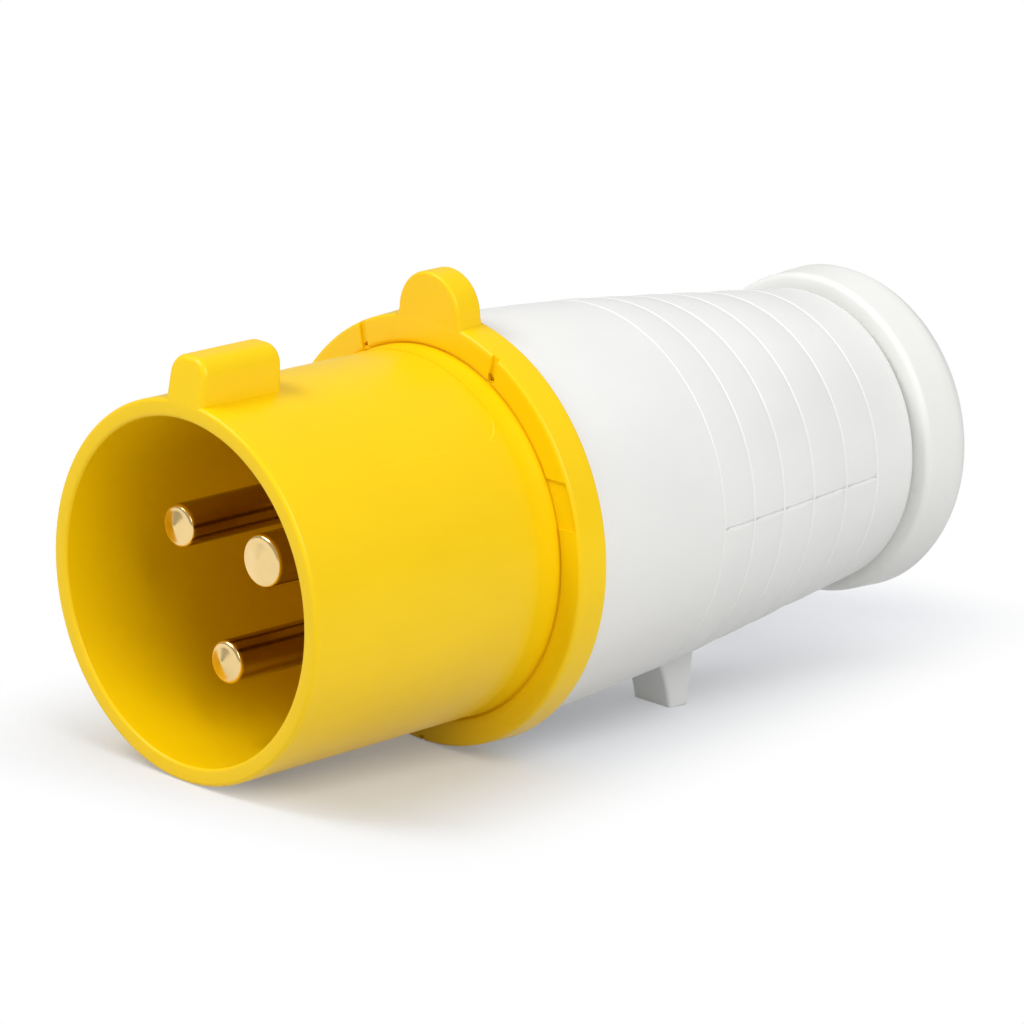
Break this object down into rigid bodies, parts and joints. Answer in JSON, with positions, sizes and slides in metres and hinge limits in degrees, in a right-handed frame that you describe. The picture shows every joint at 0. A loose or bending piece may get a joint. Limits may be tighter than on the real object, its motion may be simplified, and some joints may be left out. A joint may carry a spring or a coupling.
{
  "type": "industrial pin and sleeve plug",
  "caption": "Splash-proof industrial plug: yellow keyed shroud round its contact pins, tapered white rear housing, lug and cord gland nut",
  "frame": {"origin": "on the plug's axis, in the plane of the flange's front face, where the shroud starts", "axes": "+X along the axis from the open mouth to the cord entry, +Z towards the key and the ear, +Y to the left when the mouth is looked into"},
  "size_m": [0.1112, 0.051, 0.0602],
  "materials": {
    "yellow_shell": "smooth moulded, semi-gloss",
    "white_shell": "smooth moulded, satin",
    "white_nut": "smooth moulded, satin",
    "carrier_grey": "fine moulded",
    "seal_rubber": "matt, soft",
    "pin_brass": "turned, bright",
    "plated_steel": "zinc plated",
    "guard_steel": "rolled strip",
    "cage_nylon": "natural moulded"
  },
  "bodies": {
    "root": {"front_shroud": "yellow_shell", "rear_housing": "white_shell", "gland_nut": "white_nut", "housing_seal": "seal_rubber", "outer_cord_seal": "seal_rubber", "inner_cord_seal": "seal_rubber", "contact_carrier": "carrier_grey", "earth_pin": "pin_brass", "line_pin": "pin_brass", "neutral_pin": "pin_brass", "earth_terminal_screw": "plated_steel", "line_terminal_screw": "plated_steel", "neutral_terminal_screw": "plated_steel", "earth_wire_guard": "guard_steel", "line_wire_guard": "guard_steel", "neutral_wire_guard": "guard_steel", "top_carrier_screw": "plated_steel", "right_carrier_screw": "plated_steel", "left_carrier_screw": "plated_steel", "clamp_cage": "cage_nylon", "slip_washer": "cage_nylon"}
  },
  "joints": []
}
